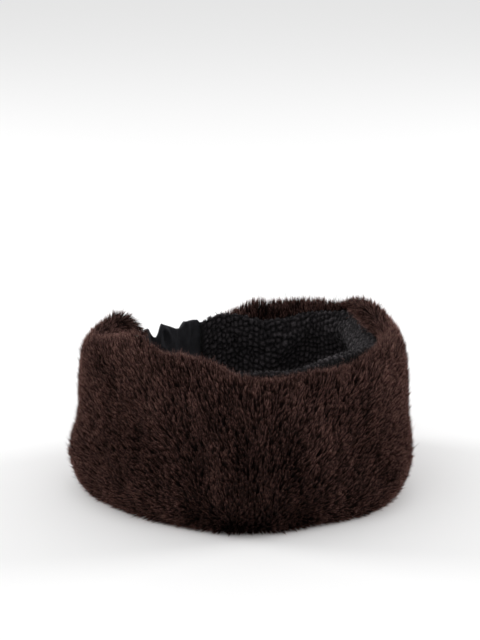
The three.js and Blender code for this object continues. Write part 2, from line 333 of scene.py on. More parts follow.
def hump(x, half_width):
    """cos squared, 1 at 0 and 0 from the half width outwards."""
    inside = np.abs(x) < half_width
    return np.where(inside, np.cos(np.pi * x / (2 * half_width)) ** 2, 0)


def shaken_cells(x, y, shake, rng):
    """Nearest point of a shaken grid, for places counted in cells of it.

    Each cell holds one point, moved from its middle by up to `shake` = (x, y) of a cell. Gives the way from
    each place to its nearest point, how much further off the second nearest is, and a number from 0 to 1
    that belongs to the nearest point.
    """
    column, row = np.floor(x).astype(int), np.floor(y).astype(int)
    first = np.array([column.min() - 1, row.min() - 1])
    extent = np.array([column.max(), row.max()]) + 2 - first
    moved = rng.uniform(-1, 1, (*extent, 2)) * np.array(shake)
    own = rng.uniform(0, 1, extent)
    best, second = np.full(x.shape, 9.0), np.full(x.shape, 9.0)
    way, number = np.zeros((*x.shape, 2)), np.zeros(x.shape)
    for step_x in (-1, 0, 1):
        for step_y in (-1, 0, 1):
            i, j = column + step_x, row + step_y
            point = moved[i - first[0], j - first[1]] + np.stack([i + 0.5, j + 0.5], -1)
            offset = point - np.stack([x, y], -1)
            apart = np.linalg.norm(offset, axis=-1)
            nearer = apart < best
            second = np.where(nearer, best, np.minimum(second, apart))
            best = np.where(nearer, apart, best)
            way = np.where(nearer[..., None], offset, way)
            number = np.where(nearer, own[i - first[0], j - first[1]], number)
    return way, second - best, number


# ---- the fur's outer form ----

CREST_AT = 1.0
SEAM_AT = 1.25


def fur_form(share, around):
    """(out, up) of the pile's outer form.

    `around` runs from 0 at the foot to 1 at the crest along half a superellipse, and from there to 1.25 at
    the backing along a quarter ellipse, which a tuck swells inwards by the sine of twice its angle.
    """
    _, _, _, _, row = ring.at(share)
    to_plus, to_minus = ring.from_end(share)
    fallen = sum(
        fall["drop"] * np.maximum(0, 1 - to_end / fall["length"]) ** 2
        for fall, to_end in ((END_FALLS["plus_x"], to_plus), (END_FALLS["minus_x"], to_minus))
    )
    in_from_end = np.clip(np.minimum(to_plus, to_minus) / END_ROUND, 0, 1)
    thinning = END_THIN + (1 - END_THIN) * np.sqrt(1 - (1 - in_from_end) ** 2)
    crest = row["crest"] - fallen
    top = RIM_HEIGHT + row["rise"] + crest
    middle = (top - FOOT) / 2
    half_height = (top + FOOT) / 2
    crest_out = CREST_OUT * thinning
    power = 2 / SQUARENESS
    a = -np.pi / 2 + np.pi * np.clip(around, 0, 1)
    lift = np.sign(a) * np.abs(np.sin(a)) ** power
    up = np.maximum(0, middle + half_height * lift)
    spread = row["flare"] * smooth_step(middle - up, -0.2 * middle, 0.6 * middle)
    start = np.where(a > 0, crest_out, 0)
    out = start + (FUR_DEPTH * thinning - start + spread) * np.maximum(0, np.cos(a)) ** power
    b = np.pi / 2 * np.clip((around - CREST_AT) / (SEAM_AT - CREST_AT), 0, 1)
    past = around > CREST_AT
    inner = crest_out * (1 - np.sin(b)) - row["tuck"] * np.sin(2 * b)
    fall = np.maximum(CREST_FALL, crest - 1)
    out = np.where(past, inner, out)
    up = np.where(past, top - fall * (1 - np.cos(b)), up)
    return out + SEWN_GAP / 2, up


# Which way the pile lies at places around the form: degrees above the outward direction, and how many more
# for each millimetre of tuck.
PILE_LIE = [
    dict(around=0.0, rises=-22, tucked=0),
    dict(around=0.1, rises=-8, tucked=0),
    dict(around=0.25, rises=20, tucked=0),
    dict(around=0.4, rises=42, tucked=0),
    dict(around=0.6, rises=52, tucked=0),
    dict(around=0.8, rises=62, tucked=0),
    dict(around=0.92, rises=72, tucked=1),
    dict(around=1.0, rises=82, tucked=2),
    dict(around=1.12, rises=88, tucked=12),
    dict(around=1.25, rises=92, tucked=18),
]

HANGS_AT_MOST = 205  # degrees above the outward direction, round over the crest and down


def pile_lie(around, tuck):
    """Radians above the outward direction, in straight lines between the rows of the table."""
    places = [row["around"] for row in PILE_LIE]
    rises, tucked = (
        np.interp(around, places, [row[key] for row in PILE_LIE]) for key in ("rises", "tucked")
    )
    return np.radians(np.minimum(rises + tucked * tuck, HANGS_AT_MOST))


# ---- meshes from arrays ----


def new_piece(name, points, quads, triangles, material, corner_map=None, map_name="OFBake", marks=None):
    """Mesh object from arrays of points and faces.

    `corner_map` has a (u, v) row for each corner, quads first, and `marks` gives a number for each point
    under each name.
    """
    mesh = bpy.data.meshes.new(name)
    mesh.vertices.add(len(points))
    mesh.vertices.foreach_set("co", points.astype(np.float32).ravel())
    corners = np.concatenate([quads.ravel(), triangles.ravel()]).astype(np.int32)
    starts = np.concatenate(
        [np.arange(len(quads)) * 4, len(quads) * 4 + np.arange(len(triangles)) * 3]
    ).astype(np.int32)
    mesh.loops.add(len(corners))
    mesh.loops.foreach_set("vertex_index", corners)
    mesh.polygons.add(len(starts))
    mesh.polygons.foreach_set("loop_start", starts)
    mesh.polygons.foreach_set("use_smooth", np.full(len(starts), True))
    if corner_map is not None:
        mesh.uv_layers.new(name=map_name)
        mesh.uv_layers[map_name].uv.foreach_set("vector", corner_map.astype(np.float32).ravel())
    for mark, numbers in (marks or {}).items():
        mesh.attributes.new(mark, "FLOAT", "POINT").data.foreach_set("value", numbers.astype(np.float32))
    mesh.update(calc_edges=True)
    mesh.validate()
    mesh.materials.append(material)
    piece = bpy.data.objects.new(name, mesh)
    bpy.context.scene.collection.objects.link(piece)
    return piece


def swept_shell(name, loops, material, point_map=None, marks=None):
    """Closed shell from loops of points, an array of station by point by (x, y, z).

    Quads join each loop to the next, and a fan to its middle closes each end. `point_map` and `marks` give
    (u, v) and named numbers for each point of the loops.
    """
    stations, n, _ = loops.shape
    i, j = np.meshgrid(np.arange(stations - 1), np.arange(n), indexing="ij")
    a, b = i * n + j, i * n + (j + 1) % n
    quads = np.stack([a, a + n, b + n, b], -1).reshape(-1, 4)
    first, last = stations * n, stations * n + 1
    k = np.arange(n)
    after = (k + 1) % n
    fans = np.concatenate(
        [
            np.stack([k, after, np.full(n, first)], 1),
            np.stack([(stations - 1) * n + after, (stations - 1) * n + k, np.full(n, last)], 1),
        ]
    )

    def with_middles(values):
        """Rows for all points, then for the middles of the first and the last loop."""
        return np.concatenate([values.reshape(stations * n, -1), values[[0, -1]].mean(axis=1).reshape(2, -1)])

    corner_map = None
    if point_map is not None:
        corners = np.concatenate([quads.ravel(), fans.ravel()])
        corner_map = with_middles(point_map)[corners]
    marks = {mark: with_middles(numbers[..., None]).ravel() for mark, numbers in (marks or {}).items()}
    return new_piece(name, with_middles(loops), quads, fans, material, corner_map, "cloth_mm", marks)


HEIGHT_SAMPLE = 64  # strands whose mean gives the heights in the map
SHADE_HALF = 0.012  # half the width that a strand takes up in the map


def strands(name, spine, side, half_width, shade, shade_half, material):
    """Flat tapering ribbons as one mesh.

    `spine` is strand by point by (x, y, z) from root to tip, `side` a unit vector for each strand and
    `half_width` a value for each point but the last. The tip is one point. The map holds each strand's
    shade across, give or take `shade_half`, and its height from root to tip upwards.
    """
    count, steps, _ = spine.shape
    body = steps - 1
    offset = side[:, None] * half_width[..., None]
    left, right = spine[:, :body] - offset, spine[:, :body] + offset
    points = np.concatenate([left, right, spine[:, body:]], 1)
    base = np.arange(count)[:, None, None] * (2 * body + 1)
    j = np.arange(body - 1)
    quad = np.stack([j, body + j, body + j + 1, j + 1], 1)
    quads = (base + quad[None]).reshape(-1, 4)
    tip = np.array([[body - 1, 2 * body - 1, 2 * body]])
    triangles = (base + tip[None]).reshape(-1, 3)
    height = np.concatenate(
        [[0], np.cumsum(np.linalg.norm(np.diff(spine[:HEIGHT_SAMPLE], axis=1), axis=-1).mean(0))]
    )
    height /= height[-1]
    low, high = shade - shade_half, shade + shade_half
    quad_u = np.stack([low, high, high, low], 1)[:, None].repeat(body - 1, 1)
    quad_v = np.stack([height[j], height[j], height[j + 1], height[j + 1]], 1)[None].repeat(count, 0)
    tip_u = np.stack([low, high, shade], 1)
    tip_v = np.tile([height[body - 1], height[body - 1], 1.0], (count, 1))
    corner_map = np.concatenate(
        [
            np.stack([quad_u, quad_v], -1).reshape(-1, 2),
            np.stack([tip_u, tip_v], -1).reshape(-1, 2),
        ]
    )
    return new_piece(name, points.reshape(-1, 3), quads, triangles, material, corner_map)


# ---- materials ----

SHADE_TONES = (0.4, 1.6)  # how far a strand's shade darkens or lightens it


def new_material(name, roughness, specular):
    """Material, its node tree and its Principled shader."""
    material = bpy.data.materials.new(name)
    material.use_nodes = True
    surface = material.node_tree.nodes["Principled BSDF"]
    surface.inputs["Roughness"].default_value = roughness
    surface.inputs["Specular IOR Level"].default_value = specular
    return material, material.node_tree, surface


def ramp(tree, source, stops):
    """Colour ramp node from (place, (r, g, b)) rows, fed by a socket."""
    node = tree.nodes.new("ShaderNodeValToRGB")
    band = node.color_ramp
    while len(band.elements) < len(stops):
        band.elements.new(0.5)
    for element, (place, colour) in zip(band.elements, stops):
        element.position = place
        element.color = (*colour, 1)
    tree.links.new(source, node.inputs["Fac"])
    return node.outputs["Color"]


def span(tree, source, low, high):
    """A socket's 0 to 1 stretched to run from `low` to `high`."""
    node = tree.nodes.new("ShaderNodeMapRange")
    node.inputs["To Min"].default_value = low
    node.inputs["To Max"].default_value = high
    tree.links.new(source, node.inputs["Value"])
    return node.outputs["Result"]


def computed(tree, operation, *values):
    """Maths node on number sockets and plain numbers, in the order given."""
    node = tree.nodes.new("ShaderNodeMath")
    node.operation = operation
    for socket, value in zip(node.inputs, values):
        if isinstance(value, (int, float)):
            socket.default_value = value
        else:
            tree.links.new(value, socket)
    return node.outputs["Value"]


def scaled(tree, colour, *factors):
    """A colour socket multiplied by number sockets, one after the other."""
    for factor in factors:
        node = tree.nodes.new("ShaderNodeVectorMath")
        node.operation = "SCALE"
        tree.links.new(colour, node.inputs[0])
        tree.links.new(factor, node.inputs["Scale"])
        colour = node.outputs["Vector"]
    return colour


def mottle_group():
    """Node group: cloudy tone from `Least` to `Most` that changes over about `Patch` metres."""
    group = bpy.data.node_groups.new("mottle", "ShaderNodeTree")
    for name, value in (("Patch", 0.012), ("Least", 0.8), ("Most", 1.2)):
        socket = group.interface.new_socket(name, in_out="INPUT", socket_type="NodeSocketFloat")
        socket.default_value = value
    group.interface.new_socket("Tone", in_out="OUTPUT", socket_type="NodeSocketFloat")
    nodes, links = group.nodes, group.links
    inside, outside = nodes.new("NodeGroupInput"), nodes.new("NodeGroupOutput")
    place = nodes.new("ShaderNodeTexCoord")
    fine = computed(group, "DIVIDE", 1.0, inside.outputs["Patch"])
    cloud = nodes.new("ShaderNodeTexNoise")
    cloud.inputs["Detail"].default_value = 2.5
    links.new(place.outputs["Object"], cloud.inputs["Vector"])
    links.new(fine, cloud.inputs["Scale"])
    tone = nodes.new("ShaderNodeMapRange")
    tone.inputs["From Min"].default_value = 0.3
    tone.inputs["From Max"].default_value = 0.7
    links.new(cloud.outputs["Fac"], tone.inputs["Value"])
    links.new(inside.outputs["Least"], tone.inputs["To Min"])
    links.new(inside.outputs["Most"], tone.inputs["To Max"])
    links.new(tone.outputs["Result"], outside.inputs["Tone"])
    return group


def mottle(tree, patch, least, most):
    """The tone of one use of the mottle group, as a number socket."""
    node = tree.nodes.new("ShaderNodeGroup")
    node.node_tree = MOTTLE
    node.inputs["Patch"].default_value = patch
    node.inputs["Least"].default_value = least
    node.inputs["Most"].default_value = most
    return node.outputs["Tone"]


def bumped(tree, surface, height, strength, distance):
    """Gives a shader fine relief from a number socket."""
    node = tree.nodes.new("ShaderNodeBump")
    node.inputs["Strength"].default_value = strength
    node.inputs["Distance"].default_value = distance
    tree.links.new(height, node.inputs["Height"])
    tree.links.new(node.outputs["Normal"], surface.inputs["Normal"])


def map_axes(tree, map_name):
    """The two axes of a piece's own map, as number sockets."""
    own_map = tree.nodes.new("ShaderNodeUVMap")
    own_map.uv_map = map_name
    split = tree.nodes.new("ShaderNodeSeparateXYZ")
    tree.links.new(own_map.outputs["UV"], split.inputs[0])
    return split.outputs["X"], split.outputs["Y"]


def pile_material():
    """Dark roots and paler tips, each strand a little lighter or darker than its neighbours. The dark roots
    are partly the fur's own colour and partly painted shade deep in the pile; the pale tips are partly their
    own colour and partly painted light shining through them.
    """
    material, tree, surface = new_material("fur_pile", roughness=0.75, specular=0.06)
    shade, height = map_axes(tree, "OFBake")
    # Near-black lower stops: partly the fur's own colour, partly painted shade deep in the pile. Pale top
    # stop: partly the tips' own colour, partly painted light through them.
    stops = [
        (0.0, (0.003, 0.0015, 0.0012)),
        (0.6, (0.0072, 0.0033, 0.0027)),
        (0.8, (0.026, 0.012, 0.0098)),
        (0.92, (0.165, 0.082, 0.069)),
        (1.0, (0.75, 0.43, 0.36)),
    ]
    colour = ramp(tree, height, stops)
    tone = span(tree, shade, *SHADE_TONES)
    cloud = mottle(tree, patch=0.014, least=0.75, most=1.25)
    tree.links.new(scaled(tree, colour, tone, cloud), surface.inputs["Base Color"])
    return material


def underfur_material():
    """Near-black brown down with fine lighter flecks. The near-black is partly the down's own colour and
    partly painted shade deep in the pile, seen through the gaps between strands.
    """
    material, tree, surface = new_material("underfur", roughness=0.95, specular=0.05)
    fleck = mottle(tree, patch=0.0012, least=0.0, most=1.0)
    colour = ramp(tree, fleck, [(0.2, (0.0025, 0.0014, 0.0012)), (0.9, (0.009, 0.005, 0.0042))])
    cloud = mottle(tree, patch=0.014, least=0.7, most=1.3)
    tree.links.new(scaled(tree, colour, cloud), surface.inputs["Base Color"])
    bumped(tree, surface, fleck, strength=0.8, distance=0.0006)
    return material


def fleece_material():
    """Charcoal teddy fleece, soft grey and fibrous on top of the nubs. Painted shade darkens it between the
    nubs and to near black on the hem, at the band's ends and at the lip's start.
    """
    material, tree, surface = new_material("teddy_fleece", roughness=0.95, specular=0.1)
    surface.inputs["Sheen Weight"].default_value = 0.05
    surface.inputs["Sheen Roughness"].default_value = 0.6
    nub = tree.nodes.new("ShaderNodeAttribute")
    nub.attribute_name = "nub"
    # Painted shade: the low end of the ramp, where the nub value is small, stands for shade in the grooves.
    stops = [(0.0, (0.0016, 0.0014, 0.0015)), (0.6, (0.0185, 0.016, 0.0175)), (1.0, (0.05, 0.0435, 0.047))]
    colour = ramp(tree, nub.outputs["Fac"], stops)
    fibre = mottle(tree, patch=0.0009, least=0.55, most=1.35)
    cloud = mottle(tree, patch=0.01, least=0.85, most=1.15)
    tree.links.new(scaled(tree, colour, fibre, cloud), surface.inputs["Base Color"])
    bumped(tree, surface, fibre, strength=0.9, distance=0.0005)
    return material


def curl_material():
    """The fleece's loose curls, a little paler than the nubs they come out of."""
    material, tree, surface = new_material("fleece_curls", roughness=0.9, specular=0.1)
    shade, height = map_axes(tree, "OFBake")
    colour = ramp(tree, height, [(0.0, (0.005, 0.0045, 0.0048)), (1.0, (0.05, 0.0445, 0.047))])
    tree.links.new(scaled(tree, colour, span(tree, shade, *SHADE_TONES)), surface.inputs["Base Color"])
    return material


def woven_material():
    """Black closely woven cloth: threads that cross every 0.45 mm, with a slight sheen."""
    material, tree, surface = new_material("woven_casing", roughness=0.8, specular=0.06)
    across, up = (
        computed(tree, "SINE", computed(tree, "MULTIPLY", axis, 2 * math.pi / THREAD_PITCH))
        for axis in map_axes(tree, "cloth_mm")
    )
    thread = computed(tree, "MULTIPLY_ADD", computed(tree, "MULTIPLY", across, 0.5), up, 0.5)
    colour = ramp(tree, thread, [(0.0, (0.017, 0.017, 0.0192)), (1.0, (0.034, 0.034, 0.0385))])
    cloud = mottle(tree, patch=0.006, least=0.8, most=1.2)
    tree.links.new(scaled(tree, colour, cloud), surface.inputs["Base Color"])
    bumped(tree, surface, thread, strength=0.35, distance=0.0001)
    return material


# ---- the fur band ----

UNDERFUR_DEPTH = 9.5  # how far below the pile's outer form the dense underfur begins
UNDERFUR_AT_END = 0.55  # share of that depth that is left at the very end
UNDERFUR_CLEAR = dict(backing=0.5, floor=1.0)  # the least that it keeps from each
STRAND_SUNK = 12.5  # how far below the pile's outer form a strand starts
WISP_COUNT = 36000
WISP_STRANDS = 6
WISP_RADIUS = 0.85
WISP_LEAN_SPREAD = 0.5
WISP_REACH = dict(mean=-0.6, spread=0.6)
WISP_DOME = 0.4  # how much sooner a strand ends for each square mm from its wisp's middle
WISP_DRAWN = 0.65  # share of its radius that a wisp has left at its tip
STRAND_HALF_WIDTH = 0.16
STRAND_WIDTHS = (0.75, 1.25)  # as shares of that
STRAND_REACH_SPREAD = 0.8
STRAND_LEAN_SPREAD = 0.3
STRAND_BEND_AT = 0.68  # share of its length at which a strand bends and starts to taper
LONG_SHARE = 0.08  # share of the strands that are long hairs
LONG_MORE = (0.8, 3.0)  # the least and the most that they reach further
TUFT_SIZE = 3.8
TUFT_SHAKE = 0.35
TUFT_DRAW = 0.12  # how far wisps lean towards the middle of their tuft
TUFT_REACH = 1.0  # how much further the longest tufts reach than the shortest
OVERHANG = 0.6  # how much further the inner edge of the pile reaches for each mm of tuck
LOW_TUFT_REACH = 2.5  # the same again, added towards the lower edge
OVER_END = dict(plus_x=4.0, minus_x=6.5)  # how far the pile leans out over each end of the band
OVER_END_FADE = dict(plus_x=6, minus_x=8)  # how far in from the end that has fallen to 1 / e
FLOOR_CLEAR = 0.3
FLOOR_CLEAR_SPREAD = 0.5
SHADE_SPREAD = dict(wisp=0.1, strand=0.12)
SHADE_ENDS = (0.03, 0.97)  # a strand's shade keeps inside its map
# Painted shade: how far the wisps' shade is lowered along the crest, darkening the brightly lit crest.
CREST_PAINTED_SHADE = 0.2

# Steps of the lattice that the wisps stand on: 1 / p and 1 / p^2, with p^3 = p + 1.
LATTICE_STEPS = (0.7548776662, 0.569840291)

# Waves for drift, as (turns, rows, phase, size): how the pile sways along the ring, and up and down it.
SWAY_ALONG = [(9, 1.2, 0.4, 0.8), (23, -2.1, 1.9, 0.6), (41, 3.3, 4.0, 0.4), (15, 4.0, 2.2, 0.5)]
SWAY_UP = [(7, 2.0, 1.1, 0.8), (19, 1.4, 3.2, 0.7), (37, -3.0, 0.3, 0.4)]


def pile_frame(share, around):
    """Outer point, the pile's direction, and the two directions in the outer form, as 3-D arrays."""
    small_share, small_around = 2e-4, 1e-3
    here = ring.place(share, *fur_form(share, around))
    there = ring.place(share + small_share, *fur_form(share + small_share, around))
    above = ring.place(share, *fur_form(share, around + small_around))
    _, outward, along, _, row = ring.at(share)
    lie = pile_lie(around, row["tuck"])
    level = np.cos(lie)[..., None] * outward
    direction = np.concatenate([level, np.sin(lie)[..., None]], -1)
    across = np.concatenate([along, np.zeros((*along.shape[:-1], 1))], -1)
    return here, direction, unit(there - here + across * 1e-9), unit(above - here)


def build_underfur(material):
    """Dense underfur on its backing cloth: the outer form sunk along the pile's lie, closed at the backing.

    Nothing of it comes through the backing or below the floor.
    """
    stations, rows, back_rows = 320, 56, 14
    share = ring.band_shares(stations)[:, None]
    around = np.linspace(0.03, 1.2, rows)[None]
    share_grid, around_grid = np.broadcast_arrays(share, around)
    here, direction, _, _ = pile_frame(share_grid, around_grid)
    inwards = np.clip(np.minimum(*ring.from_end(share_grid)) / END_ROUND, 0, 1)
    depth = UNDERFUR_DEPTH * (UNDERFUR_AT_END + (1 - UNDERFUR_AT_END) * inwards)
    sunk = here - direction * (depth * MM)[..., None]
    point, outward, _, _, _ = ring.at(share_grid)
    out = ((sunk[..., :2] / MM - point) * outward).sum(-1)
    out = np.maximum(out, UNDERFUR_CLEAR["backing"])
    up = np.maximum(sunk[..., 2] / MM, UNDERFUR_CLEAR["floor"])
    outer = ring.place(share_grid, out, up)
    low, high = up[:, :1], up[:, -1:]
    back_up = high + (low - high) * np.linspace(0, 1, back_rows)[None]
    back_out = np.full(back_up.shape, SEWN_GAP / 2)
    back = ring.place(np.broadcast_to(share, back_up.shape), back_out, back_up)
    return swept_shell("fur_backing", np.concatenate([outer, back], 1), material)


def scatter(rng, count):
    """Evenly strewn places on the outer form, as shares and `around` values.

    An even lattice, shaken by up to half its mean spacing, is stretched so that equal areas get equally many,
    by the area at each share and the area at each `around`. Gives the way up the form in mm as well.
    """
    share = ring.band_shares(400)
    around = np.linspace(0.02, SEAM_AT, 160)
    grid = ring.place(*np.broadcast_arrays(share[:, None], *fur_form(share[:, None], around[None])))
    along = np.linalg.norm(np.diff(grid, axis=0), axis=-1)[:, :-1]
    across = np.linalg.norm(np.diff(grid, axis=1), axis=-1)[:-1]
    area = along * across
    i = np.arange(count)
    shaken = rng.uniform(-0.5, 0.5, (2, count)) / math.sqrt(count)
    u = np.mod(0.5 + i * LATTICE_STEPS[0] + shaken[0], 1)
    v = np.mod(0.5 + i * LATTICE_STEPS[1] + shaken[1], 1)
    by_share = np.concatenate([[0], np.cumsum(area.sum(1))]) / area.sum()
    by_around = np.concatenate([[0], np.cumsum(area.sum(0))]) / area.sum()
    form_height = np.concatenate([[0], np.cumsum(across.mean(0))])
    found = np.interp(v, by_around, around)
    return np.interp(u, by_share, share), found, np.interp(found, around, form_height) / MM


def drift(share, around, waves):
    """Slow smooth variation: a sum of sines, each `size` high.

    A sine runs through `turns` waves as the share goes from 0 to 1 and `rows` waves as `around` does, and
    starts at its own phase.
    """
    total = 0
    for turns, rows, phase, size in waves:
        total = total + size * np.sin(2 * np.pi * (turns * share + rows * around) + phase)
    return total


def build_pile(material):
    """The pile in four pieces of strands, which stand in small wisps whose tips draw together."""
    rng = np.random.default_rng(SEED)
    n = WISP_STRANDS
    share, around, form_height = scatter(rng, WISP_COUNT)
    here, direction, across, upward = pile_frame(share, around)

    to_tuft, _, tuft_own = shaken_cells(
        share * ring.length / TUFT_SIZE, form_height / TUFT_SIZE, (TUFT_SHAKE, TUFT_SHAKE), rng
    )
    lean = rng.normal(0, WISP_LEAN_SPREAD, (WISP_COUNT, 2)) + TUFT_DRAW * TUFT_SIZE * to_tuft
    lean[:, 0] += drift(share, around, SWAY_ALONG)
    lean[:, 1] += drift(share, around, SWAY_UP)
    tuck = ring.at(share)[4]["tuck"]
    to_plus, to_minus = ring.from_end(share)
    over_plus = OVER_END["plus_x"] * np.exp(-to_plus / OVER_END_FADE["plus_x"])
    over_minus = OVER_END["minus_x"] * np.exp(-to_minus / OVER_END_FADE["minus_x"])
    lean[:, 0] += over_plus - over_minus
    tuft_reach = TUFT_REACH + LOW_TUFT_REACH * smooth_step(-around, -0.3, -0.1)
    reach = rng.normal(WISP_REACH["mean"], WISP_REACH["spread"], WISP_COUNT) + tuft_reach * (tuft_own - 0.5)
    reach += OVERHANG * tuck * smooth_step(around, 1.0, 1.2)

    angle = rng.uniform(0, 2 * np.pi, (WISP_COUNT, n))
    radius = WISP_RADIUS * np.sqrt(rng.uniform(0, 1, (WISP_COUNT, n)))
    x, y = radius * np.cos(angle), radius * np.sin(angle)
    spread = rng.normal(0, STRAND_REACH_SPREAD, (WISP_COUNT, n))
    reach = reach[:, None] + spread - WISP_DOME * radius**2
    long_ones = rng.uniform(0, 1, (WISP_COUNT, n)) < LONG_SHARE
    reach = np.where(long_ones, reach + rng.uniform(*LONG_MORE, reach.shape), reach)
    lean_x = lean[:, :1] + rng.normal(0, STRAND_LEAN_SPREAD, (WISP_COUNT, n))
    lean_y = lean[:, 1:] + rng.normal(0, STRAND_LEAN_SPREAD, (WISP_COUNT, n))

    def spot(x, y, forward):
        """Points so many millimetres along the ring, up the form and forward along the pile's lie."""
        return (
            here[:, None]
            + across[:, None] * (x * MM)[..., None]
            + upward[:, None] * (y * MM)[..., None]
            + direction[:, None] * (forward * MM)[..., None]
        )

    root = spot(x, y, np.full(x.shape, -STRAND_SUNK))
    bend = STRAND_BEND_AT
    middle = spot(
        x * (1 - bend * (1 - WISP_DRAWN)) + lean_x * bend**2,
        y * (1 - bend * (1 - WISP_DRAWN)) + lean_y * bend**2,
        -STRAND_SUNK + bend * (reach + STRAND_SUNK),
    )
    tip = spot(x * WISP_DRAWN + lean_x, y * WISP_DRAWN + lean_y, reach)
    spine = np.stack([root, middle, tip], 2)
    floor_clear = FLOOR_CLEAR + FLOOR_CLEAR_SPREAD * rng.uniform(0, 1, x.shape)
    spine[..., 2] = np.maximum(spine[..., 2], floor_clear[:, :, None] * MM)
    side = unit(np.cross(unit(tip - root), rng.normal(0, 1, root.shape)))
    half_width = STRAND_HALF_WIDTH * MM * rng.uniform(*STRAND_WIDTHS, (WISP_COUNT, n, 1)) * np.ones(2)
    wisp_shade = rng.normal(0.5, SHADE_SPREAD["wisp"], (WISP_COUNT, 1))
    # Painted shade: the wisps darken towards the crest and over it.
    wisp_shade -= CREST_PAINTED_SHADE * smooth_step(around, 0.9, 1.08)[:, None]
    shade = np.clip(wisp_shade + rng.normal(0, SHADE_SPREAD["strand"], (WISP_COUNT, n)), *SHADE_ENDS)

    quarter = np.floor(4 * (share - ring.casing_end) / (ring.casing_start + 1 - ring.casing_end))
    quarter = np.clip(quarter, 0, 3).astype(int)
    pieces = []
    for k, name in enumerate(("fur_pile_left", "fur_pile_front", "fur_pile_side", "fur_pile_right")):
        mine = [values[quarter == k] for values in (spine, side, half_width, shade)]
        flat = [values.reshape(-1, *values.shape[2:]) for values in mine]
        pieces.append(strands(name, *flat, SHADE_HALF, material))
    return pieces


# ---- the fleece lining ----

NUB_ACROSS = 3.5
NUB_UP = 3.9
NUB_HEIGHT = 2.2
NUB_SHAKE = (0.36, 0.42)
NUB_RISES_OVER = 0.75  # the difference, in cells, at which a nub reaches its height
NUB_SUNK = 0.55  # share of a nub's height that lies below the wall's own face
NUB_FADE = 3  # mm from the band's ends, and rows from the lip's start, over which nubs grow
END_INNER = 0.48  # share of the thickness that the lining's inner face has left at the very end
CURL_COUNT = 19000
FRINGE_SHARE = 0.5  # share of the curls that fringe the lip
FRINGE_ROWS = (2, 18)  # rows past the hem between which the fringe grows
FRINGE_LIFT = 1.9
CURL_LENGTH = 3.6
CURL_LIFT = 1.1
CURL_HALF_WIDTH = 0.17


def fold_push(turn, up_share):
    """How far the folds push the inner face into the ring at a turn and a share of the height."""
    push = 0
    for fold in LINING_FOLDS:
        above = up_share - fold["up"]
        centre = fold["turn"] + fold["slant"] * above
        apart = np.mod(turn - centre + 180, 360) - 180
        push = push + fold["push"] * hump(apart, fold["width"]) * hump(above, fold["span"])
    return push


def lining_loops():
    """Points and nub heights of the lining: a half round hem, a rolled lip, and nubs on lip and inner face.

    A nub is a dome over one cell of a shaken grid. Its height is the sine of how much further off the
    second nearest point is than its own, and it stands along the wall's own outward direction.
    """
    stations, hem_rows, lip_rows, face_rows = 520, 8, 14, 100
    share = ring.band_shares(stations)[:, None]
    _, _, _, turn, row = ring.at(share)
    nearer_end = np.minimum(*ring.from_end(share))
    near_end = 1 - np.clip(nearer_end / END_ROUND, 0, 1)
    top = RIM_HEIGHT + row["rise"] - LINING_END_DROP * near_end**2
    in_slot = np.clip(1 - (nearer_end - CASING_TAB) / SLOT_RAMP, 0, 1)
    outer = -SEWN_GAP / 2 - (TAB_THICKNESS + SEWN_GAP) * in_slot
    rounded = np.sqrt(1 - (1 - np.clip(nearer_end / LINING_THICKNESS, 0, 1)) ** 2)
    inner = -SEWN_GAP / 2 - LINING_THICKNESS * (END_INNER + (1 - END_INNER) * rounded)
    radius = (outer - inner) / 2
    low, high = LINING_HEM + radius, top - radius
    middle = (outer + inner) / 2

    def half_round(up, start, count):
        """Half circle across the wall about the height `up`, from the angle `start` on."""
        a = start + np.pi * np.linspace(0, 1, count)[None]
        return middle + radius * np.cos(a), up + radius * np.sin(a)

    hem_out, hem_up = half_round(low, np.pi, hem_rows)
    lip_out, lip_up = half_round(high, 0, lip_rows)
    face_up = high + (low - high) * (np.arange(1, face_rows) / face_rows)[None]
    rolled = row["roll"] * hump(top - ROLL_HEIGHT / 2 - face_up, ROLL_HEIGHT / 2)
    face_out = inner - rolled - fold_push(turn, face_up / top)
    out = np.concatenate([lip_out, face_out], 1)
    up = np.concatenate([lip_up, face_up], 1)

    slope_out, slope_up = np.gradient(out, axis=1), np.gradient(up, axis=1)
    size = np.hypot(slope_out, slope_up)
    down = np.cumsum(size, axis=1)
    rng = np.random.default_rng(SEED + 1)
    x = np.broadcast_to(share * ring.length / NUB_ACROSS, down.shape)
    column_shift = 0.5 * np.sin(2.4 * np.floor(x))
    _, nearer_by, own = shaken_cells(x, down / NUB_UP + column_shift, NUB_SHAKE, rng)
    nub = np.sin(np.pi / 2 * np.clip(nearer_by / NUB_RISES_OVER, 0, 1))
    from_lip = np.arange(out.shape[1])[None]
    ends_in = np.clip(nearer_end / NUB_FADE, 0, 1) * np.clip(from_lip / NUB_FADE, 0, 1)
    height = NUB_HEIGHT * (0.6 + 0.8 * own) * (nub - NUB_SUNK) * ends_in
    out = out + height * slope_up / size
    up = up - height * slope_out / size
    loops = ring.place(
        *np.broadcast_arrays(share, np.concatenate([hem_out, out], 1), np.concatenate([hem_up, up], 1))
    )
    # Painted shade: the nub value for the colour is 0 on the hem and fades to 0 at the band's ends and the
    # lip's start, painting them near black.
    nub = np.concatenate([np.zeros(hem_out.shape), nub * ends_in], 1)
    return loops, nub, hem_rows


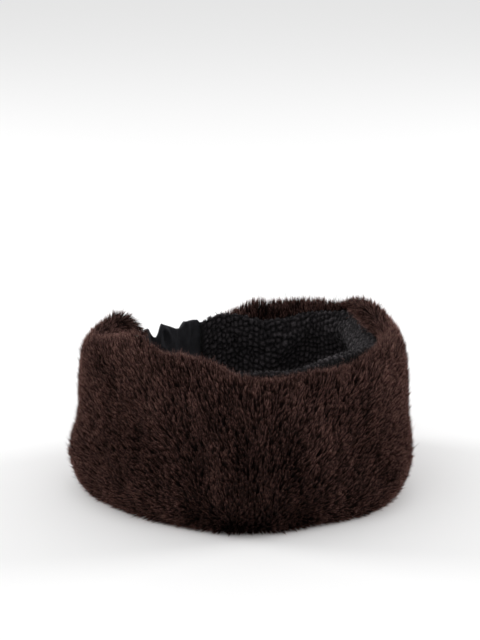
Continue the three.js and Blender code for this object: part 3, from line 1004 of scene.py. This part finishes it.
def build_curls(loops, hem_rows, material):
    """Loose curls: each a short arc that lifts off the wall as a sine and bends to one side.

    Some are strewn over the whole wall, and some fringe the lip, where they are longer and stand up more.
    """
    rng = np.random.default_rng(SEED + 2)
    stations, n, _ = loops.shape
    fringe = np.arange(CURL_COUNT) < FRINGE_SHARE * CURL_COUNT
    i = rng.integers(1, stations - 1, CURL_COUNT)
    lip_start, lip_end = (hem_rows + rows for rows in FRINGE_ROWS)
    low, high = np.where(fringe, lip_start, lip_end), np.where(fringe, lip_end, n - 2)
    j = rng.integers(low, high)
    here = loops[i, j]
    along = unit(loops[i + 1, j] - loops[i - 1, j])
    down = unit(loops[i, j + 1] - loops[i, j - 1])
    away = unit(np.cross(down, along))
    heading = rng.uniform(0, 2 * np.pi, CURL_COUNT)
    ahead = np.cos(heading)[:, None] * along + np.sin(heading)[:, None] * down
    beside = np.cross(away, ahead)
    length = CURL_LENGTH * MM * rng.uniform(0.6, 1.3, CURL_COUNT)
    bend = rng.normal(0, 0.55, CURL_COUNT)
    t = np.linspace(0, 1, 4)[None, :, None]
    lift = np.where(fringe, FRINGE_LIFT, CURL_LIFT) * MM * rng.uniform(0.4, 1.5, CURL_COUNT)
    spine = (
        here[:, None]
        + ahead[:, None] * length[:, None, None] * (t - 0.4)
        + beside[:, None] * (length * bend)[:, None, None] * (t - 0.4) ** 2 * 2
        + away[:, None] * (lift[:, None, None] * np.sin(0.7 * np.pi * t) - 0.2 * MM)
    )
    side = unit(np.cross(ahead, away + rng.normal(0, 0.8, away.shape)))
    half_width = CURL_HALF_WIDTH * MM * np.array([0.7, 1.0, 0.9]) * rng.uniform(0.7, 1.2, (CURL_COUNT, 1))
    shade = np.clip(rng.normal(0.5, 0.2, CURL_COUNT), *SHADE_ENDS)
    return strands("fleece_curls", spine, side, half_width, shade, SHADE_HALF, material)


# ---- the casing ----

THREAD_PITCH = 0.45
GATHERS_DRIFT = dict(middle=0.85, span=0.15)  # shares of the height where and over which gathers drift

# Round swellings of the casing. `push` is how far the middle stands out, inwards if negative, `width` and
# `span` are half its size along and up as shares, and `lip` how far a ring round it stands inwards.
SWELLINGS = [
    dict(at=0.54, up=0.89, push=2.0, width=0.075, span=0.075, lip=1.5),
    dict(at=0.3, up=0.5, push=1.2, width=0.1, span=0.12, lip=0.3),
    dict(at=0.72, up=0.38, push=-1.2, width=0.12, span=0.14, lip=0.3),
]
# Waves for drift, as (turns, rows, phase, size), over the share of the casing's length and of its height.
CREASES = [(7.3, 4.0, 0.3, 0.3), (11.7, -5.0, 2.1, 0.18), (17.1, 6.0, 4.4, 0.1)]


def build_casing(material):
    """Thin wall whose middle line swings in and out with the gathers, its upper edge ruffled by them.

    The push is a sum of humps across the casing, of round swellings with a ring round each, and of a few
    sines that crease it finely.
    """
    stations, rows = 150, 72
    tab_share = CASING_TAB / ring.length
    share = np.linspace(ring.casing_start - tab_share, ring.casing_end + tab_share, stations)[:, None]
    inside = (share - ring.casing_start) * ring.length
    free = smooth_step(np.minimum(inside, ring.casing_length - inside), 0, CASING_TAB)
    at = np.clip(inside / ring.casing_length, 0, 1)
    half = (TAB_THICKNESS + (CASING_THICKNESS - TAB_THICKNESS) * free) / 2
    edge_at, edge_lift = zip(*((row["at"], row["lift"]) for row in CASING_EDGE))
    top = CASING_TOP + np.interp(at, edge_at, edge_lift)

    def face(side, rise):
        """(out, up) of the outer face for side 1 and of the inner for side -1, at shares of the height."""
        push = 0
        drifts = np.tanh((rise - GATHERS_DRIFT["middle"]) / GATHERS_DRIFT["span"])
        for fold in GATHERS:
            drifted = fold["at"] + fold["lean"] * drifts
            push = push + fold["push"] * hump(at - drifted, fold["width"])
        for row in SWELLINGS:
            apart = np.hypot((at - row["at"]) / row["width"], (rise - row["up"]) / row["span"])
            push = push + row["push"] * hump(apart, 1) - row["lip"] * hump(apart - 1.1, 0.45)
        push = push + drift(at, rise, CREASES)
        middle = -(TAB_THICKNESS + SEWN_GAP) / 2 + free * push
        return middle + side * half, CASING_BOTTOM + (top - CASING_BOTTOM) * rise

    rise = np.linspace(0, 1, rows)[None]
    out_a, up_a = face(1, rise)
    out_b, up_b = face(-1, rise[:, ::-1])
    out, up = np.concatenate([out_a, out_b], 1), np.concatenate([up_a, up_b], 1)
    loops = ring.place(*np.broadcast_arrays(share, out, up))
    point_map = np.stack(np.broadcast_arrays(inside, up), -1)
    return swept_shell("gathered_casing", loops, material, point_map)


# ---- the headband ----

place_camera()
light_the_room()
lay_floor()

MOTTLE = mottle_group()
ring = Ring()

# The ring's axis is moved so that the middle of the fur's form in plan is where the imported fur_band has it.
probe_share, probe_around = np.meshgrid(ring.band_shares(600), np.linspace(0, SEAM_AT, 60), indexing="ij")
probe = ring.place(probe_share, *fur_form(probe_share, probe_around)).reshape(-1, 3)
fur_low, fur_high = (np.array(corner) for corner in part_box("fur_band"))
ring.centre = ((probe.min(0) + probe.max(0) - fur_low - fur_high) / 2)[:2] / MM

backing = build_underfur(underfur_material())
pile = build_pile(pile_material())
loops, nub, hem_rows = lining_loops()
lining = swept_shell("fleece_wall", loops, fleece_material(), marks={"nub": nub})
curls = build_curls(loops, hem_rows, curl_material())
casing = build_casing(woven_material())

for piece, slot, nodes in (
    (backing, "faux_fur", ["fur_band"]),
    *((piece, "faux_fur", []) for piece in pile),
    (lining, "teddy_fleece", ["fleece_lining"]),
    (curls, "teddy_fleece", []),
    (casing, "woven_casing", ["elastic_back"]),
):
    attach(piece, "root")
    if nodes:
        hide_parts(*nodes)
